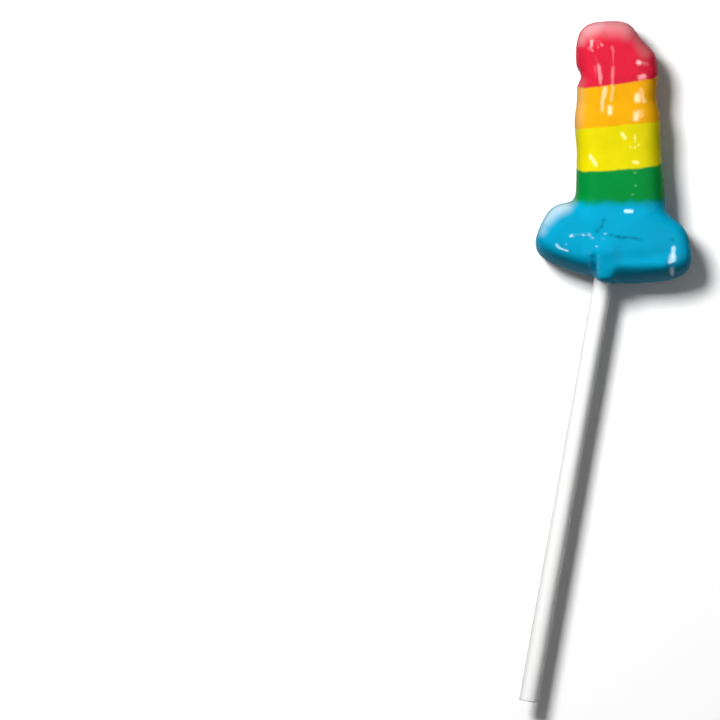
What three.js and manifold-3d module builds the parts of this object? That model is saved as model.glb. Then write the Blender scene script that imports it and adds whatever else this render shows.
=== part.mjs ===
import * as THREE from 'three';
import Module from 'manifold-3d';

// A gummy lollipop in five colours on a straight stick, in millimetres, +Z up.
// It lies on its back: the stick runs along Y with the gummy at its +Y end, and the
// gummy leans a little towards -X. The origin is under the middle of its outer box.
// In the gummy's own space X runs across it, Y up it from its base, and Z out of its front.

const stickRadius = 2.5;
const stickShown = 118;
const stickBuried = 40;
const stickEdge = 0.25;
const stickSides = 32;
const boreOverrun = 10;
const stickEntry = { x: -5.85, y: -0.3 };
const stickLean = THREE.MathUtils.degToRad(12.5);

const restDepth = 11.3;
const pieceGap = 0.3;
const gummySides = 72;
const frontDetail = 0.45;
const frontBearing = THREE.MathUtils.degToRad(72);
const furthestReach = 40;
const halvings = 34;
const placesPerMm = 1e4;

// Radius of the upright column at a few heights, from the base to just under the cap. Its
// section is squarer than a circle, where 2 is a circle.
const columnShift = 0.15;
const columnSquare = 3.5;
const columnFoot = { y: 9, drop: 5 };
const columnRoofSteepness = 2;
const columnRadii = [
  { y: 8, radius: 11.9 },
  { y: 24, radius: 12.2 },
  { y: 37, radius: 11.6 },
  { y: 44.5, radius: 11.85 },
  { y: 51, radius: 10.9 },
  { y: 57, radius: 10.1 },
  { y: 61, radius: 8.5 },
];

// Rounded forms: middle, half sizes, squareness of the outline and of the depth (2 is an
// ellipse), turn about Z, how much narrower the top is than the middle, and how much shorter
// the lower half is at the front, as a share.
const cap = form({ x: -1.6, y: 59.7, half: [8.95, 12.5, 10.9], square: 3.4, deep: 3.5 });
const capRim = form({ x: 8.7, y: 59.2, half: [3.05, 5.5, 9], deep: 3 });
const capNotch = form({ x: -12.6, y: 57.4, half: [4.2, 1.8, 9] });
const leftLobe = form({
  x: -12.6, y: 12.45, half: [10.4, 8.85, 11.6], square: 3.15, deep: 6, turn: -0.38, taper: 0.07, heel: 0.31,
});
const rightLobe = form({
  x: 6.6, y: 8.35, half: [12.2, 9, 11.8], square: 3, deep: 6, turn: 0.04, taper: 0.08, heel: 0.31,
});
const stickCollar = form({ x: -5, y: 4.7, half: [2.7, 4.6, 11.8], square: 3.6, deep: 7 });
const cleft = form({ x: -8.1, y: 3, z: 12.2, half: [0.8, 4.6, 2.4] });

const heelRoundness = 1.3;

// How softly neighbouring forms run into each other.
const capBlend = 1;
const rimBlend = 3.6;
const notchBlend = 1.8;
const lobeBlend = 1.6;
const collarBlend = 2.4;
const cleftBlend = 0.9;
const baseBlend = 3.8;

// Where one colour meets the next: height on the axis, rise towards +X, drop towards the front.
const redOverOrange = { y: 55.9, rise: 0.094, drop: 0.12 };
const orangeOverYellow = { y: 43.6, rise: 0.055, drop: 0.045 };
const yellowOverGreen = { y: 32.8, rise: 0.038, drop: 0.17 };
const greenOverBlue = { y: 23, rise: -0.028, drop: 0.12 };

const capCentre = 60.5;
const capRows = 18;
const bandRowHeight = 1.9;
const baseCentre = 10.5;
const baseRows = 32;

const finish = {
  red: { color: 0xe5263f, roughness: 0.22, metalness: 0 },
  orange: { color: 0xf5b414, roughness: 0.22, metalness: 0 },
  yellow: { color: 0xf0e205, roughness: 0.22, metalness: 0 },
  green: { color: 0x03993f, roughness: 0.22, metalness: 0 },
  blue: { color: 0x04a6d6, roughness: 0.22, metalness: 0 },
  stick: { color: 0xf7f7f5, roughness: 0.6, metalness: 0 },
};

// Fills in what a form leaves at its plain value.
function form(values) {
  return { z: 0, square: 2, deep: 2, turn: 0, taper: 0, heel: 0, ...values };
}

// Smaller of two form values, rounded off where they are alike.
function blend(first, second, softness) {
  const overlap = Math.max(softness - Math.abs(first - second), 0) / softness;
  return Math.min(first, second) - overlap * overlap * softness / 4;
}

// Below zero inside a rounded form, above zero outside it.
function formValue(shape, point) {
  const cos = Math.cos(shape.turn);
  const sin = Math.sin(shape.turn);
  const dx = point.x - shape.x;
  const dy = point.y - shape.y;
  const forward = THREE.MathUtils.clamp((point.z - shape.z) / shape.half[2], 0, 1);
  const upward = dy * cos - dx * sin;
  const shortened = upward < 0 ? 1 - shape.heel * forward ** heelRoundness : 1;
  const along = upward / (shape.half[1] * shortened);
  const narrowed = 1 - shape.taper * THREE.MathUtils.clamp(along, -1, 1);
  const across = (dx * cos + dy * sin) / (shape.half[0] * narrowed);
  const face = (Math.abs(across) ** shape.square + Math.abs(along) ** shape.square) ** (1 / shape.square);
  const depth = Math.abs((point.z - shape.z) / shape.half[2]);
  return ((face ** shape.deep + depth ** shape.deep) ** (1 / shape.deep) - 1) * Math.min(...shape.half);
}

function columnRadius(y) {
  const last = columnRadii.length - 1;
  if (y >= columnRadii[last].y) return columnRadii[last].radius;
  const above = Math.max(columnRadii.findIndex((knot) => knot.y > y), 1);
  const low = columnRadii[above - 1];
  const high = columnRadii[above];
  return THREE.MathUtils.lerp(low.radius, high.radius, THREE.MathUtils.smoothstep(y, low.y, high.y));
}

// The column, rounded off under its foot and inside the cap.
function columnValue(point) {
  const radius = columnRadius(point.y);
  const below = Math.max(columnFoot.y - point.y, 0) * radius / columnFoot.drop;
  const above = Math.max(point.y - columnRadii[columnRadii.length - 1].y, 0) * columnRoofSteepness;
  const across = Math.abs(point.x - columnShift) ** columnSquare;
  const deep = Math.abs(point.z) ** columnSquare;
  return Math.hypot((across + deep) ** (1 / columnSquare), below, above) - radius;
}

function gummyValue(point) {
  let value = blend(formValue(cap, point), columnValue(point), capBlend);
  value = blend(value, formValue(capRim, point), rimBlend);
  value = -blend(-value, formValue(capNotch, point), notchBlend);
  let base = blend(formValue(leftLobe, point), formValue(rightLobe, point), lobeBlend);
  base = blend(base, formValue(stickCollar, point), collarBlend);
  value = blend(value, base, baseBlend);
  return -blend(-value, formValue(cleft, point), cleftBlend);
}

// The gummy's surface on a ray from a point of its axis. The back ends at the flat it lies on.
function surfacePoint(axisHeight, direction) {
  const start = new THREE.Vector3(0, axisHeight, 0);
  let inside = 0;
  let outside = furthestReach;
  for (let step = 0; step < halvings; step += 1) {
    const middle = (inside + outside) / 2;
    const value = gummyValue(start.clone().addScaledVector(direction, middle));
    if (value < 0) inside = middle;
    else outside = middle;
  }
  const reach = direction.z < 0 ? Math.min(inside, restDepth / -direction.z) : inside;
  return start.addScaledVector(direction, reach);
}

// A direction round the gummy, matching the way a sphere geometry counts its columns. They
// are closer together at the front, where the detail is.
function bearing(column) {
  const even = 2 * Math.PI * (column % gummySides) / gummySides;
  const angle = even - frontDetail * Math.sin(even - frontBearing);
  return new THREE.Vector3(-Math.cos(angle), 0, Math.sin(angle));
}

// One point of a level ring: the surface cut by a slightly sloping plane.
function levelPoint(level, column) {
  const direction = bearing(column);
  direction.y = level.rise * direction.x - level.drop * direction.z;
  return surfacePoint(level.y, direction);
}

// One point between a ring and a pole, on rays that fan out from a point of the axis.
function fanPoint(level, column, centreHeight, poleAngle, share) {
  const edge = levelPoint(level, column);
  const edgeAngle = Math.atan2(edge.y - centreHeight, Math.hypot(edge.x, edge.z));
  const angle = THREE.MathUtils.lerp(edgeAngle, poleAngle, share);
  const direction = bearing(column).multiplyScalar(Math.cos(angle));
  direction.y = Math.sin(angle);
  return surfacePoint(centreHeight, direction);
}

function raised(level, amount) {
  return { ...level, y: level.y + amount };
}

function levelBetween(low, high, share) {
  return {
    y: THREE.MathUtils.lerp(low.y, high.y, share),
    rise: THREE.MathUtils.lerp(low.rise, high.rise, share),
    drop: THREE.MathUtils.lerp(low.drop, high.drop, share),
  };
}

// A sphere whose rows are moved to the given rows of points, from its top to its bottom.
function skin(topPole, rows, bottomPole) {
  const sphere = new THREE.SphereGeometry(1, gummySides, rows.length + 1);
  const points = sphere.attributes.position;
  for (let index = 0; index < points.count; index += 1) {
    const row = Math.floor(index / (gummySides + 1));
    const column = index % (gummySides + 1);
    let point = topPole;
    if (row > rows.length) point = bottomPole;
    else if (row > 0) point = rows[row - 1](column);
    points.setXYZ(index, point.x, point.y, point.z);
  }
  return sphere;
}

function axisPoint(y) {
  return new THREE.Vector3(0, y, 0);
}

function capGeometry(low) {
  const rows = [];
  for (let row = capRows - 1; row >= 0; row -= 1) {
    rows.push((column) => fanPoint(low, column, capCentre, Math.PI / 2, row / capRows));
  }
  const top = surfacePoint(capCentre, new THREE.Vector3(0, 1, 0));
  return skin(top, rows, axisPoint(low.y));
}

function bandGeometry(low, high) {
  const steps = Math.round((high.y - low.y) / bandRowHeight);
  const rows = [];
  for (let row = steps; row >= 0; row -= 1) {
    const level = levelBetween(low, high, row / steps);
    rows.push((column) => levelPoint(level, column));
  }
  return skin(axisPoint(high.y), rows, axisPoint(low.y));
}

function baseGeometry(high) {
  const rows = [];
  for (let row = 0; row < baseRows; row += 1) {
    rows.push((column) => fanPoint(high, column, baseCentre, -Math.PI / 2, row / baseRows));
  }
  const bottom = surfacePoint(baseCentre, new THREE.Vector3(0, -1, 0));
  return skin(axisPoint(high.y), rows, bottom);
}

// A solid rod along Y with slightly eased ends.
function rodGeometry(radius, from, to, edge) {
  const profile = [
    new THREE.Vector2(0, from),
    new THREE.Vector2(radius - edge, from),
    new THREE.Vector2(radius, from + edge),
    new THREE.Vector2(radius, to - edge),
    new THREE.Vector2(radius - edge, to),
    new THREE.Vector2(0, to),
  ];
  return new THREE.LatheGeometry(profile, stickSides);
}

const wasm = await Module();
wasm.setup();

// Joins the vertices that a geometry repeats along its seam and poles.
function solidOf(geometry) {
  const points = geometry.attributes.position;
  const places = new Map();
  const vertices = [];
  const numberOf = [];
  for (let index = 0; index < points.count; index += 1) {
    const place = [points.getX(index), points.getY(index), points.getZ(index)];
    const key = place.map((value) => Math.round(value * placesPerMm)).join();
    if (!places.has(key)) {
      places.set(key, places.size);
      vertices.push(...place);
    }
    numberOf.push(places.get(key));
  }
  const triangles = [];
  for (let index = 0; index < geometry.index.count; index += 3) {
    const corners = [0, 1, 2].map((corner) => numberOf[geometry.index.getX(index + corner)]);
    if (new Set(corners).size === 3) triangles.push(...corners);
  }
  const mesh = new wasm.Mesh({
    numProp: 3,
    vertProperties: new Float32Array(vertices),
    triVerts: new Uint32Array(triangles),
  });
  return new wasm.Manifold(mesh);
}

function geometryOf(solid) {
  const mesh = solid.getMesh();
  const geometry = new THREE.BufferGeometry();
  geometry.setAttribute('position', new THREE.BufferAttribute(mesh.vertProperties, 3));
  geometry.setIndex(new THREE.BufferAttribute(mesh.triVerts, 1));
  geometry.computeVertexNormals();
  return geometry;
}

// The room that the stick takes up in the gummy, in the gummy's space.
function stickRoom() {
  const room = rodGeometry(stickRadius + pieceGap, -boreOverrun, stickBuried + pieceGap, stickEdge);
  room.rotateZ(-stickLean);
  room.translate(stickEntry.x, stickEntry.y, 0);
  return solidOf(room);
}

function addPiece(parent, name, geometry, look) {
  const piece = new THREE.Mesh(geometry, new THREE.MeshStandardMaterial(look));
  piece.name = name;
  parent.add(piece);
  return piece;
}

const lollipop = new THREE.Group();
const gummy = new THREE.Group();
const halfGap = pieceGap / 2;
const bored = stickRoom();

const capRed = capGeometry(raised(redOverOrange, halfGap));
const bandOrange = bandGeometry(raised(orangeOverYellow, halfGap), raised(redOverOrange, -halfGap));
const bandYellow = bandGeometry(raised(yellowOverGreen, halfGap), raised(orangeOverYellow, -halfGap));
const bandGreen = bandGeometry(raised(greenOverBlue, halfGap), raised(yellowOverGreen, -halfGap));
const baseBlue = baseGeometry(raised(greenOverBlue, -halfGap));

addPiece(gummy, 'cap_red', geometryOf(solidOf(capRed)), finish.red);
addPiece(gummy, 'band_orange', geometryOf(solidOf(bandOrange)), finish.orange);
addPiece(gummy, 'band_yellow', geometryOf(solidOf(bandYellow).subtract(bored)), finish.yellow);
addPiece(gummy, 'band_green', geometryOf(solidOf(bandGreen).subtract(bored)), finish.green);
addPiece(gummy, 'base_blue', geometryOf(solidOf(baseBlue).subtract(bored)), finish.blue);

// The stick's entry is turned onto the Y axis, so the gummy leans and the stick runs straight.
const entry = new THREE.Vector3(stickEntry.x, stickEntry.y, 0).applyAxisAngle(
  new THREE.Vector3(0, 0, 1),
  stickLean,
);
gummy.rotation.z = stickLean;
gummy.position.copy(entry).negate();
lollipop.add(gummy);
addPiece(lollipop, 'stick', rodGeometry(stickRadius, -stickShown, stickBuried, stickEdge), finish.stick);

const outerBox = new THREE.Box3().setFromObject(lollipop, true);
const middle = outerBox.getCenter(new THREE.Vector3());
lollipop.position.set(-middle.x, -middle.y, -outerBox.min.z);

export default lollipop;
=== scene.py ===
import math
import time

import bmesh
import bpy
from mathutils import Matrix, Vector, kdtree, noise


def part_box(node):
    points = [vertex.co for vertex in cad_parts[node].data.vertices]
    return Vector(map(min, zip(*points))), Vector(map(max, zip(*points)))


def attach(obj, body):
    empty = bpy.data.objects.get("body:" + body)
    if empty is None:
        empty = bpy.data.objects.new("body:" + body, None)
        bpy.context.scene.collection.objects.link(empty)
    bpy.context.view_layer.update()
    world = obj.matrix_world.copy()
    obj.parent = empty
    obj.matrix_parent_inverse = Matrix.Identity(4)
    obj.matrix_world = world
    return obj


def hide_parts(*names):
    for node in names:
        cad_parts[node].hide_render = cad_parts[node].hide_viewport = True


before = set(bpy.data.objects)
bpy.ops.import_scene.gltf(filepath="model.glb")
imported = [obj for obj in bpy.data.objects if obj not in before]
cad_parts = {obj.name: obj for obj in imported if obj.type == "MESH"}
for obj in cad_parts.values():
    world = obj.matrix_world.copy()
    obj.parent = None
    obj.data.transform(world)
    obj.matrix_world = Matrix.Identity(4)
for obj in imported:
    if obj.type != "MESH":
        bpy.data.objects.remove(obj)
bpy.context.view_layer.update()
started = time.time()
mm = 0.001


def report(stage):
    print(f"{stage}: {time.time() - started:.1f} s")


# The gummy's own space: X across it, Y up it from its base, Z out of its front.
place = {
    "stickShown": 118 * mm,
    "stickEntry": Vector((-5.85, -0.3, 0)) * mm,
    "lean": math.radians(12.5),
}

stickLow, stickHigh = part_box("stick")
stickMiddle = (stickLow + stickHigh) / 2
stickRadius = (stickHigh.x - stickLow.x) / 2
entryPoint = Vector((stickMiddle.x, stickLow.y + place["stickShown"], stickMiddle.z))
gummyToFrame = (
    Matrix.Translation(entryPoint)
    @ Matrix.Rotation(place["lean"], 4, "Z")
    @ Matrix.Translation(-place["stickEntry"])
)
frameToGummy = gummyToFrame.inverted()

# Where colours meet: height on the gummy's axis, rise towards its X, drop towards its front.
seams = {
    "gap": 0.3 * mm,
    "planes": [
        (55.9 * mm, 0.094, 0.12),
        (43.6 * mm, 0.055, 0.045),
        (32.8 * mm, 0.038, 0.17),
        (23.0 * mm, -0.028, 0.12),
    ],
    "bands": ["cap_red", "band_orange", "band_yellow", "band_green", "base_blue"],
}


def aboveSeam(point, seam):
    height, rise, drop = seam
    return point.y - (height + rise * point.x - drop * point.z)


def seamNormal(seam):
    return Vector((-seam[1], 1, seam[2])).normalized()


# Places in the picture are in pixels of its 720 by 720 frame. Lights are placed from the gummy's
# middle, to the right, to the top and out of the picture. The panels only show as reflections: they
# are placed by their turn to the right and their rise to the top, in degrees from straight above.
studio = {
    "pixel": 5 * mm / 18,
    "frameWidth": 720,
    "stickEntry": (602.5, 283.1),
    "middle": (360, 360),
    "gummyMiddle": (616, 130),
    "roll": math.radians(10.1),
    "distance": 5,
    "floor": (0.92, 0.92, 0.92),
    "ambient": 0.085,
    "key": {"from": (-0.32, 0.38, 0.72), "size": (1.2, 0.4), "watts": 12.3},
    "floorKey": {"from": (-0.262, 0.232, 0.775), "size": (0.2, 0.2), "watts": 8.8},
    "floorFill": {"from": (0, 0, 1.2), "size": (2.4, 2.4), "watts": 3.0},
    "panels": {
        "left": {"toward": (-42, 10), "size": (0.4, 0.6)},
        "front": {"toward": (2, 8), "size": (0.26, 0.44)},
        "right": {"toward": (41, -6), "size": (0.62, 0.7)},
        "corner": {"toward": (-32, -30), "size": (0.34, 0.3)},
    },
    "panelDistance": 0.6,
    "panelRadiance": 3.5,
}

right = Vector((math.cos(studio["roll"]), math.sin(studio["roll"]), 0))
up = Vector((-math.sin(studio["roll"]), math.cos(studio["roll"]), 0))


def inPicture(offset):
    return right * offset[0] + up * offset[1] + Vector((0, 0, offset[2]))


def atPixel(spot, height):
    across = (spot[0] - studio["stickEntry"][0]) * studio["pixel"]
    upward = (studio["stickEntry"][1] - spot[1]) * studio["pixel"]
    return Vector((entryPoint.x, entryPoint.y, 0)) + inPicture((across, upward, height))


cameraPlace = atPixel(studio["middle"], entryPoint.z + studio["distance"])
lightTarget = atPixel(studio["gummyMiddle"], entryPoint.z)


# One even skin over all five bands. Relief, painted shade, gloss and painted sheen go on it before it is cut
# into bands.
skin = {
    "voxel": 0.5 * mm,
    "smoothPasses": 10,
    "wallSlack": 0.6 * mm,
    "planeSlack": 0.03 * mm,
    "swell": 0.08 * mm,
}


def newObject(name, bm):
    mesh = bpy.data.meshes.new(name)
    bm.to_mesh(mesh)
    bm.free()
    obj = bpy.data.objects.new(name, mesh)
    bpy.context.scene.collection.objects.link(obj)
    return obj


def isInner(face):  # a face of a flat seam or of the stick's bore
    for seam in seams["planes"]:
        heights = [abs(aboveSeam(v.co, seam)) for v in face.verts]
        if all(abs(h - seams["gap"] / 2) < skin["planeSlack"] for h in heights):
            return True
    along = Vector((math.sin(place["lean"]), math.cos(place["lean"]), 0))
    for v in face.verts:
        out = v.co - place["stickEntry"]
        if (out - along * out.dot(along)).length > stickRadius + skin["wallSlack"]:
            return False
    return True


def buildSkin():
    bm = bmesh.new()
    for band in seams["bands"]:
        bm.from_mesh(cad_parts[band].data)
    bmesh.ops.transform(bm, matrix=frameToGummy, verts=bm.verts)
    bmesh.ops.remove_doubles(bm, verts=bm.verts, dist=0.001 * mm)
    inner = [f for f in bm.faces if isInner(f)]
    bmesh.ops.delete(bm, geom=inner, context="FACES")
    for seam in seams["planes"]:
        ring = [e for e in bm.edges if e.is_boundary
                and all(abs(aboveSeam(v.co, seam)) < seams["gap"] for v in e.verts)]
        bmesh.ops.bridge_loops(bm, edges=ring)
    bmesh.ops.holes_fill(bm, edges=[e for e in bm.edges if e.is_boundary], sides=0)
    bmesh.ops.recalc_face_normals(bm, faces=bm.faces)
    obj = newObject("gummySkin", bm)
    remesh = obj.modifiers.new("even", "REMESH")
    remesh.mode = "VOXEL"
    remesh.voxel_size = skin["voxel"]
    smooth = obj.modifiers.new("smooth", "SMOOTH")
    smooth.factor = 0.5
    smooth.iterations = skin["smoothPasses"]
    finer = obj.modifiers.new("finer", "SUBSURF")
    finer.levels = 1
    finer.render_levels = 1
    evaluated = obj.evaluated_get(bpy.context.evaluated_depsgraph_get())
    bm = bmesh.new()
    bm.from_mesh(evaluated.to_mesh())
    bpy.data.objects.remove(obj)
    bm.normal_update()
    for v in bm.verts:
        v.co += v.normal * skin["swell"]
    return bm


skinMesh = buildSkin()
print("skin", len(skinMesh.verts), "vertices")
report("skin")


# Marks on the front, in the gummy's own millimetres. A lump is its size, depth and seed; a pit its
# place, width and depth; a crinkled patch its place, reach, grain and depth.
relief = {
    "lumps": [(9, 0.06, 1), (3.8, 0.035, 2), (1.6, 0.01, 3)],
    # A groove's or pit's shade darkens the colour along it: painted shade in a real dent.
    "grooves": [
        {"path": [(-4.9, 17.7), (-5.0, 16.6), (-5.6, 15.0), (-6.9, 13.9)],
         "width": 0.45, "depth": 0.08, "shade": 0.45},
        {"path": [(-3.8, 13.0), (-2.1, 12.6), (-0.5, 12.0), (2.3, 11.9), (5.3, 11.1)],
         "width": 0.42, "depth": 0.12, "shade": 0.8},
        {"path": [(-8.2, 7.4), (-8.3, 5.9), (-8.1, 3.4), (-7.8, 1.2)],
         "width": 0.5, "depth": 0.4, "shade": 0.9},
        {"path": [(-11.9, 11.3), (-12.1, 7.0)], "width": 0.25, "depth": 0.02, "shade": 0.15},
        {"path": [(7.6, 17.8), (9.0, 18.6), (10.4, 19.0)], "width": 0.6, "depth": 0.1, "shade": 0.2},
    ],
    "pits": [
        (-4.9, 16.9, 0.5, 0.12), (-5.5, 15.2, 0.55, 0.12), (-6.9, 13.9, 0.6, 0.12), (14.0, 10.8, 0.5, 0.12),
    ],
    "pitShade": 0.6,
    "welts": [
        {"path": [(-14.31, 13.39), (-11.6, 13.5), (-9.4, 13.2), (-7.65, 13.11)], "width": 0.3, "depth": 0.1},
        {"path": [(-6.77, 7.51), (-6.89, 4.74)], "width": 0.4, "depth": 0.1},
    ],
    "swells": [
        {"path": [(-4.8, 57), (-4.6, 51)], "width": 2.4, "depth": 0.45},
        {"path": [(-0.8, 55.5), (-0.8, 51.5)], "width": 2.0, "depth": 0.2},
        {"path": [(5.9, 63.5), (5.2, 58)], "width": 2.8, "depth": 0.5},
        {"path": [(-0.6, 4.7), (4.0, 4.5), (11.0, 4.3)], "width": 1.8, "depth": 0.95},
    ],
    "crinkles": [
        (-5.8, 66.4, 3.0, 1.4, 0.05), (8.2, 58.5, 2.6, 1.4, 0.04), (6.2, 48.5, 2.2, 1.5, 0.03),
        (4.4, 37.5, 2.6, 1.2, 0.03), (-16.8, 10.2, 2.2, 1.2, 0.04),
    ],
    "ring": {"middle": (-5.3, 66.4), "radius": 1.7, "width": 0.45, "depth": 0.05},
    "taper": 1.2,
    "restingWithin": 1.5 * mm,
}


def bell(distance, width):
    return math.exp(-(distance / width) ** 2)


def pathDistance(x, y, path):  # how far off the path, how far along it, and how long it is
    nearest, walked, where = 1e9, 0, 0
    for (ax, ay), (bx, by) in zip(path, path[1:]):
        dx, dy = bx - ax, by - ay
        length = math.hypot(dx, dy)
        t = max(0, min(1, ((x - ax) * dx + (y - ay) * dy) / length ** 2))
        away = math.hypot(x - ax - t * dx, y - ay - t * dy)
        if away < nearest:
            nearest, where = away, walked + t * length
        walked += length
    return nearest, where, walked


def alongPath(x, y, mark):  # 1 on the path, fading beside it and towards its two ends
    nearest, where, length = pathDistance(x, y, mark["path"])
    end = min(where, length - where)
    uneven = 0.75 + 0.7 * noise.noise(Vector((where * 0.9, *mark["path"][0])))
    return bell(nearest, mark["width"]) * min(1, 0.25 + end / relief["taper"]) * uneven


def isNear(x, y, mark):
    reach = mark["width"] * 3
    across = [point[0] for point in mark["path"]]
    upward = [point[1] for point in mark["path"]]
    return min(across) - reach < x < max(across) + reach and min(upward) - reach < y < max(upward) + reach


def frontMarks(x, y):
    height, shade = 0, 0
    for swell in relief["swells"]:
        if isNear(x, y, swell):
            height += swell["depth"] * bell(pathDistance(x, y, swell["path"])[0], swell["width"])
    for cx, cy, reach, size, depth in relief["crinkles"]:
        away = math.hypot(x - cx, y - cy)
        if away < reach * 2.5:
            height += depth * bell(away, reach) * noise.noise(Vector((x / size, y / size, cx)))
    for groove in relief["grooves"]:
        if isNear(x, y, groove):
            near = alongPath(x, y, groove)
            height -= groove["depth"] * near
            shade = max(shade, near * groove["shade"])
    for px, py, width, depth in relief["pits"]:
        near = bell(math.hypot(x - px, y - py), width)
        height -= depth * near
        shade = max(shade, near * relief["pitShade"])
    for welt in relief["welts"]:
        if isNear(x, y, welt):
            height += welt["depth"] * alongPath(x, y, welt)
    ring = relief["ring"]
    away = math.hypot(x - ring["middle"][0], y - ring["middle"][1])
    crinkle = 0.6 + 1.2 * noise.noise(Vector((x, y, 3)))
    height += ring["depth"] * bell(away - ring["radius"], ring["width"]) * crinkle
    return height, shade


def raiseRelief(bm):
    paintedCreaseShade = bm.verts.layers.float.new("paintedCreaseShade")
    bm.normal_update()
    moves = []
    for v in bm.verts:
        height = 0
        for size, depth, seed in relief["lumps"]:
            height += depth * noise.noise(v.co / (size * mm) + Vector((seed * 7.3, 0, seed)))
        if v.normal.z > 0:
            marks, shade = frontMarks(v.co.x / mm, v.co.y / mm)
            height += marks * min(1, v.normal.z * 2)
            # Painted shade for the grooves and pits, kept for the material to darken the colour.
            v[paintedCreaseShade] = shade * min(1, v.normal.z * 2)
        resting = min(1, max(0, (v.co.z - floorLevel) / relief["restingWithin"]))
        moves.append((v, v.normal * height * mm * resting))
    for v, move in moves:
        v.co += move
    for v in bm.verts:
        v.co.z = max(v.co.z, floorLevel)


floorLevel = (frameToGummy @ Vector((0, 0, 0))).z
raiseRelief(skinMesh)
report("relief")


# In the gummy's own millimetres: strength, reach, and the middle line. Marks are wet, the rest of
# the front is satin. The pale patches are painted sheen: near white mixed into the colour along the lit top
# and upper left rims.
shine = {
    "marks": [
        (0.6, 0.6, (-6.1, 67.2), (-6.3, 65.5)), (0.35, 0.5, (-7.0, 65.0), (-5.8, 64.0)),
        (0.4, 0.5, (-5.2, 66.8), (-4.2, 66.7), (-3.3, 65.5)), (0.4, 0.5, (-4.6, 65.8), (-4.6, 65.0)),
        (0.25, 0.6, (-2.8, 68.9), (-2.1, 68.2)),
        (0.3, 0.5, (-5.4, 62.5), (-5.0, 60.3)), (0.42, 1.15, (-4.9, 59.8), (-4.6, 57.6), (-4.3, 56.4)),
        (0.35, 0.6, (-4.6, 57.6), (-4.3, 54.9)),
        (0.22, 0.6, (-0.6, 64.8), (-0.4, 63.7)), (0.12, 0.4, (-0.4, 63.1), (-0.5, 60.6)),
        (0.26, 0.7, (-0.6, 59.2), (-0.8, 56.8)), (0.2, 0.6, (-0.8, 56.2), (-1.0, 54.5)),
        (0.7, 0.95, (6.5, 60.4), (6.7, 60.2)), (0.14, 0.9, (7.1, 60.3), (9.0, 59.8)),
        (0.4, 1.15, (6.4, 56.0), (7.8, 56.4)),
        (0.5, 1.0, (-3.0, 53.5), (-3.5, 51.3)), (0.45, 1.0, (-3.9, 50.2), (-4.4, 47.5)),
        (0.3, 0.55, (-0.8, 53.7), (-1.5, 50.1)), (0.6, 1.1, (-1.9, 48.1), (-2.0, 46.8)),
        (0.55, 1.4, (5.9, 51.0), (5.8, 50.1)), (0.24, 0.9, (6.9, 52.6), (7.6, 49.5)),
        (0.55, 1.4, (5.5, 46.4), (5.2, 45.0)), (0.2, 0.9, (6.8, 47.0), (6.8, 45.5)),
        (0.55, 0.7, (1.1, 40.8), (1.9, 39.6)), (0.2, 0.5, (4.7, 40.1), (4.7, 38.6)),
        (0.24, 0.5, (5.6, 37.5), (5.7, 37.5)), (0.24, 0.5, (4.5, 36.8), (4.6, 36.8)),
        (0.2, 0.5, (3.2, 37.0), (3.3, 37.0)), (0.6, 0.7, (-8.0, 35.1), (-6.4, 32.5)),
        (0.42, 0.75, (4.1, 32.8), (5.1, 32.6)),
        (0.12, 0.5, (4.1, 29.9), (4.3, 29.9)), (0.14, 0.5, (4.2, 26.2), (4.4, 26.2)),
        (0.12, 0.5, (3.3, 23.8), (3.5, 23.8)),
        (1.0, 0.75, (1.2, 19.3), (2.9, 19.2)),
        (0.6, 0.55, (-14.3, 13.1), (-12.4, 13.4), (-10.7, 13.2), (-9.3, 13.4), (-8.2, 12.4)),
        (0.35, 0.45, (-4.8, 13.3), (-4.6, 13.3)), (0.4, 0.5, (-5.6, 12.0), (-5.4, 12.0)),
        (0.3, 0.45, (-7.3, 9.9), (-7.1, 9.9)),
        (0.6, 0.6, (-18.2, 10.8), (-17.5, 9.8), (-15.5, 9.1)), (0.35, 0.45, (-15.8, 10.7), (-15.6, 10.7)),
        (0.12, 0.4, (-9.3, 8.1), (-9.4, 4.3)), (0.2, 0.4, (-6.9, 7.2), (-6.9, 2.8)),
        (0.75, 0.85, (14.1, 8.6), (13.8, 6.1)), (0.6, 1.5, (13.7, 6.1), (13.4, 4.9)),
        (0.4, 0.9, (13.4, 3.9), (13.3, 1.4)),
    ],
    "markEdge": 1.25,
    "front": 0.002,
    "sides": 0.03,
    "satinFrom": 0.4,
    "uneven": 0.5,
    "paintedSheens": [
        (0.26, 3.2, (-9.4, 67.6), (-8.2, 69.6)), (0.36, 4.8, (-7.5, 70.4), (-3.5, 71.9)),
        (0.25, 5.8, (-3.5, 71.9), (2.0, 71.4), (4.4, 70.6)),
        (0.12, 3.6, (4.4, 70.6), (7.2, 66.8), (8.6, 63.6)),
        (0.5, 3.8, (-15.6, 21.9), (-19.0, 20.3), (-21.4, 18.2)), (0.3, 3.0, (-21.4, 18.2), (-22.6, 15.2)),
        (0.22, 2.6, (-13.8, 22.5), (-15.6, 21.9)),
        (0.14, 4.4, (-11.4, 55.3), (-11.9, 48.8), (-12.4, 44.8)),
    ],
    "paintedSheenColour": (0.93, 0.95, 0.95),
}


def smoothStep(share):
    share = min(1, max(0, share))
    return share * share * (3 - 2 * share)


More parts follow.
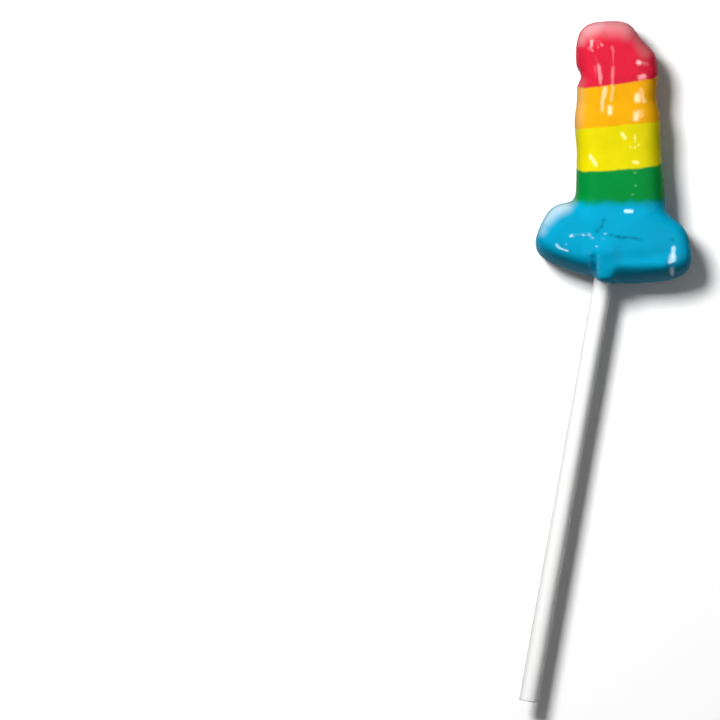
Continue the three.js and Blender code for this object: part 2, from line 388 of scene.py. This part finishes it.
def paintShine(bm):
    wet = bm.verts.layers.float.new("shine")
    paintedSheenLayer = bm.verts.layers.float.new("paintedSheen")
    bm.normal_update()
    for v in bm.verts:
        satin = smoothStep(v.normal.z / shine["satinFrom"])
        v[wet] = shine["sides"] + (shine["front"] - shine["sides"]) * satin
    front = [v for v in bm.verts if v.normal.z > 0]
    tree = kdtree.KDTree(len(front))
    for number, v in enumerate(front):
        tree.insert((v.co.x / mm, v.co.y / mm, 0), number)
    tree.balance()
    for kind, layer, edge in (("marks", wet, shine["markEdge"]), ("paintedSheens", paintedSheenLayer, 1.0)):
        for strength, width, *path in shine[kind]:
            middle = sum((Vector(point) for point in path), Vector((0, 0))) / len(path)
            reach = max((Vector(point) - middle).length for point in path) + width
            for _, number, _ in tree.find_range((middle.x, middle.y, 0), reach):
                v = front[number]
                x, y = v.co.x / mm, v.co.y / mm
                share = smoothStep(edge * (1 - pathDistance(x, y, path)[0] / width))
                # Painted sheen: the pale mix fades out where the surface turns away from the front.
                if layer == paintedSheenLayer:
                    share *= smoothStep(v.normal.z * 3)
                else:
                    share *= 1 + shine["uneven"] * noise.noise(Vector((x * 1.3, y * 0.7, width)))
                v[layer] = max(v[layer], strength * share)


paintShine(skinMesh)
report("shine")


def newMaterial(name):
    material = bpy.data.materials.new(name)
    material.use_nodes = True
    return material, material.node_tree, material.node_tree.nodes["Principled BSDF"]


def addNode(tree, kind, values, **settings):
    node = tree.nodes.new(kind)
    for key, value in settings.items():
        setattr(node, key, value)
    for key, value in values.items():
        if isinstance(value, bpy.types.NodeSocket):
            tree.links.new(value, node.inputs[key])
        else:
            node.inputs[key].default_value = value
    return node


def gummyPoint(tree):  # a point in the gummy's own space
    turn = Matrix.Rotation(-place["lean"], 4, "Z")
    shift = place["stickEntry"] - turn @ entryPoint
    where = addNode(tree, "ShaderNodeTexCoord", {})
    moved = addNode(tree, "ShaderNodeMapping", {"Vector": where.outputs["Object"], "Location": shift,
                                                "Rotation": (0, 0, -place["lean"])})
    return moved.outputs["Vector"]


def noiseAt(tree, point, size, detail=2.0):
    values = {"Vector": point, "Scale": 1 / size, "Detail": detail}
    return addNode(tree, "ShaderNodeTexNoise", values).outputs[0]


def calc(tree, operation, *values):
    return addNode(tree, "ShaderNodeMath", dict(enumerate(values)), operation=operation).outputs[0]


def mixColour(tree, share, first, second):
    node = addNode(tree, "ShaderNodeMix", {"Factor": share}, data_type="RGBA")
    for socket, value in ((node.inputs[6], first), (node.inputs[7], second)):
        if isinstance(value, bpy.types.NodeSocket):
            tree.links.new(value, socket)
        else:
            socket.default_value = (*value, 1)
    return node.outputs[2]


# Two colours run into each other over each seam: how softly, and how far the seam wanders.
gummy = {
    "colours": [(0.7, 0.015, 0.046), (0.86, 0.40, 0.003), (0.77, 0.67, 0.001), (0.0, 0.25, 0.04),
                (0.0, 0.36, 0.59)],
    "slots": ["red_gummy", "orange_gummy", "yellow_gummy", "green_gummy", "blue_gummy"],
    "soft": [0.35 * mm, 0.35 * mm, 0.4 * mm, 1.5 * mm],
    "wobble": [0.8 * mm, 0.8 * mm, 0.9 * mm, 2.4 * mm],
    "rippleSize": 3.5 * mm,
    "roughness": 0.5,
    "specular": 0.02,
    "coatSharpness": 2.8,
    "coatRoughness": 0.15,
    "cloudSize": 4.5 * mm,
    "mottle": 0.1,
    "creaseShade": 0.65,
    "grainSize": 0.7 * mm,
    "grainDepth": 0.06 * mm,
    "grainStrength": 0.12,
}


def upperShare(tree, point, index):
    seam = seams["planes"][index]
    normal = seamNormal(seam)
    along = addNode(tree, "ShaderNodeVectorMath", {0: point, 1: normal}, operation="DOT_PRODUCT")
    ripple = calc(tree, "SUBTRACT", noiseAt(tree, point, gummy["rippleSize"], 1.5), 0.5)
    height = calc(tree, "ADD", along.outputs["Value"], calc(tree, "MULTIPLY", ripple, gummy["wobble"][index]))
    middle = seam[0] * normal.y
    return addNode(tree, "ShaderNodeMapRange", {
        "Value": height,
        "From Min": middle - gummy["soft"][index],
        "From Max": middle + gummy["soft"][index],
    }, interpolation_type="SMOOTHSTEP").outputs[0]


def gummyMaterial(index):
    material, tree, surface = newMaterial(gummy["slots"][index])
    point = gummyPoint(tree)
    own = gummy["colours"][index]
    colour = own
    if index < len(seams["planes"]):
        colour = mixColour(tree, upperShare(tree, point, index), gummy["colours"][index + 1], colour)
    if index > 0:
        colour = mixColour(tree, upperShare(tree, point, index - 1), colour, gummy["colours"][index - 1])
    cloud = noiseAt(tree, point, gummy["cloudSize"], 3.0)
    value = calc(tree, "ADD", calc(tree, "MULTIPLY", cloud, gummy["mottle"] * 2), 1 - gummy["mottle"])
    # Painted shade: the colour is darkened in grooves and pits.
    paintedCreaseShade = addNode(tree, "ShaderNodeAttribute", {}, attribute_name="paintedCreaseShade").outputs["Fac"]
    shade = calc(tree, "MULTIPLY", paintedCreaseShade, gummy["creaseShade"])
    value = calc(tree, "MULTIPLY", value, calc(tree, "SUBTRACT", 1.0, shade))
    toned = addNode(tree, "ShaderNodeHueSaturation", {"Value": value, "Color": colour})
    # Painted sheen: the colour is mixed towards near white wherever the sheen attribute is set.
    paintedSheen = addNode(tree, "ShaderNodeAttribute", {}, attribute_name="paintedSheen").outputs["Fac"]
    withPaintedSheen = mixColour(tree, paintedSheen, toned.outputs["Color"], shine["paintedSheenColour"])
    tree.links.new(withPaintedSheen, surface.inputs["Base Color"])
    bump = addNode(tree, "ShaderNodeBump", {
        "Height": noiseAt(tree, point, gummy["grainSize"]),
        "Strength": gummy["grainStrength"],
        "Distance": gummy["grainDepth"],
    })
    tree.links.new(bump.outputs["Normal"], surface.inputs["Normal"])
    surface.inputs["Roughness"].default_value = gummy["roughness"]
    surface.inputs["Specular IOR Level"].default_value = gummy["specular"]
    wet = addNode(tree, "ShaderNodeAttribute", {}, attribute_name="shine").outputs["Fac"]
    tree.links.new(wet, surface.inputs["Coat Weight"])
    surface.inputs["Coat IOR"].default_value = gummy["coatSharpness"]
    surface.inputs["Coat Roughness"].default_value = gummy["coatRoughness"]
    return material


def cutBand(master, index):
    bm = master.copy()
    cuts = []
    if index > 0:
        cuts.append((seams["planes"][index - 1], False))
    if index < len(seams["planes"]):
        cuts.append((seams["planes"][index], True))
    for seam, keepAbove in cuts:
        geom = bm.verts[:] + bm.edges[:] + bm.faces[:]
        bmesh.ops.bisect_plane(bm, geom=geom, dist=1e-7, plane_co=(0, seam[0], 0),
                               plane_no=seamNormal(seam), clear_inner=keepAbove, clear_outer=not keepAbove)
        rim = [e for e in bm.edges if e.is_boundary]
        for e in rim:
            e.smooth = False
        made = bmesh.ops.holes_fill(bm, edges=rim, sides=0)
        bmesh.ops.poke(bm, faces=made["faces"])
    for f in bm.faces:
        f.smooth = True
    bmesh.ops.transform(bm, matrix=gummyToFrame, verts=bm.verts)
    bmesh.ops.recalc_face_normals(bm, faces=bm.faces)
    return bm


pieces = []
for index, band in enumerate(seams["bands"]):
    piece = newObject("gummy_" + band, cutBand(skinMesh, index))
    pieces.append(piece)
    piece.data.materials.append(gummyMaterial(index))
    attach(piece, "root")
    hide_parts(band)
skinMesh.free()
report("bands")


stick = {
    "sides": 96,
    "edge": 0.3 * mm,
    "colour": (0.92, 0.92, 0.91),
    "shade": (0.86, 0.86, 0.85),
    "roughness": 0.55,
    "fibreSize": 0.5 * mm,
    "fibreDepth": 0.05 * mm,
    "fibreStrength": 0.15,
}


def buildStick():
    bm = bmesh.new()
    length = stickHigh.y - stickLow.y
    bmesh.ops.create_cone(bm, cap_ends=True, segments=stick["sides"],
                          radius1=stickRadius, radius2=stickRadius, depth=length)
    rims = [e for e in bm.edges if abs(e.verts[0].co.z - e.verts[1].co.z) < 1e-6]
    bmesh.ops.bevel(bm, geom=rims, offset=stick["edge"], segments=4, profile=0.5,
                    affect="EDGES", material=-1)
    for f in bm.faces:
        f.smooth = abs(f.normal.z) < 0.99
    bmesh.ops.rotate(bm, verts=bm.verts, matrix=Matrix.Rotation(math.radians(-90), 3, "X"))
    bmesh.ops.translate(bm, verts=bm.verts, vec=stickMiddle)
    bmesh.ops.recalc_face_normals(bm, faces=bm.faces)
    return bm


def paperMaterial():
    material, tree, surface = newMaterial("stickPaper")
    where = addNode(tree, "ShaderNodeTexCoord", {}).outputs["Object"]
    fibres = addNode(tree, "ShaderNodeMapping", {"Vector": where, "Scale": (1, 0.12, 1)}).outputs["Vector"]
    strands = noiseAt(tree, fibres, stick["fibreSize"], 3.0)
    colour = mixColour(tree, strands, stick["colour"], stick["shade"])
    tree.links.new(colour, surface.inputs["Base Color"])
    bump = addNode(tree, "ShaderNodeBump", {
        "Height": strands,
        "Strength": stick["fibreStrength"],
        "Distance": stick["fibreDepth"],
    })
    tree.links.new(bump.outputs["Normal"], surface.inputs["Normal"])
    surface.inputs["Roughness"].default_value = stick["roughness"]
    return material


stickPiece = newObject("paperStick", buildStick())
pieces.append(stickPiece)
stickPiece.data.materials.append(paperMaterial())
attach(stickPiece, "root")
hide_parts("stick")
report("stick")


camera = bpy.data.objects.new("camera", bpy.data.cameras.new("camera"))
bpy.context.scene.collection.objects.link(camera)
bpy.context.scene.camera = camera
camera.location = cameraPlace
camera.rotation_euler = (0, 0, studio["roll"])
camera.data.sensor_width = 36
camera.data.lens = 36 * studio["distance"] / (studio["frameWidth"] * studio["pixel"])
camera.data.clip_end = 20


def buildFloor():
    bm = bmesh.new()
    bmesh.ops.create_grid(bm, x_segments=1, y_segments=1, size=3)
    floor = newObject("floor", bm)
    material, tree, surface = newMaterial("floor")
    surface.inputs["Base Color"].default_value = (*studio["floor"], 1)
    surface.inputs["Roughness"].default_value = 0.9
    surface.inputs["Specular IOR Level"].default_value = 0.0
    floor.data.materials.append(material)
    floor.visible_diffuse = False


def softLight(name, location, size, watts):
    data = bpy.data.lights.new(name, "AREA")
    data.energy = watts
    data.shape = "RECTANGLE"
    data.size, data.size_y = size
    light = bpy.data.objects.new(name, data)
    bpy.context.scene.collection.objects.link(light)
    light.location = location
    light.visible_camera = False
    toward = (location - lightTarget).normalized()
    across = up.cross(toward).normalized()
    light.rotation_euler = Matrix((across, toward.cross(across), toward)).transposed().to_euler()
    return light


def buildLights():
    floor = [bpy.data.objects["floor"]]
    for name, receivers in (("key", pieces), ("floorKey", floor), ("floorFill", floor)):
        values = studio[name]
        lamp = softLight(name, lightTarget + inPicture(values["from"]), values["size"], values["watts"])
        lamp.visible_glossy = False
        lit = bpy.data.collections.new(name + "Lights")
        for obj in receivers:
            lit.objects.link(obj)
        lamp.light_linking.receiver_collection = lit
    for name, panel in studio["panels"].items():
        turn, rise = (math.radians(angle) for angle in panel["toward"])
        toward = Vector((math.sin(turn) * math.cos(rise), math.sin(rise), math.cos(turn) * math.cos(rise)))
        watts = studio["panelRadiance"] * math.pi * panel["size"][0] * panel["size"][1]
        offset = inPicture(toward * studio["panelDistance"])
        lamp = softLight(name, lightTarget + offset, panel["size"], watts)
        lamp.visible_diffuse = False


buildFloor()
buildLights()
world = bpy.data.worlds.new("world")
bpy.context.scene.world = world
world.use_nodes = True
world.node_tree.nodes["Background"].inputs["Color"].default_value = (1, 1, 1, 1)
world.node_tree.nodes["Background"].inputs["Strength"].default_value = studio["ambient"]
bpy.context.scene.view_settings.view_transform = "Standard"

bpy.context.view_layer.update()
report("stage")
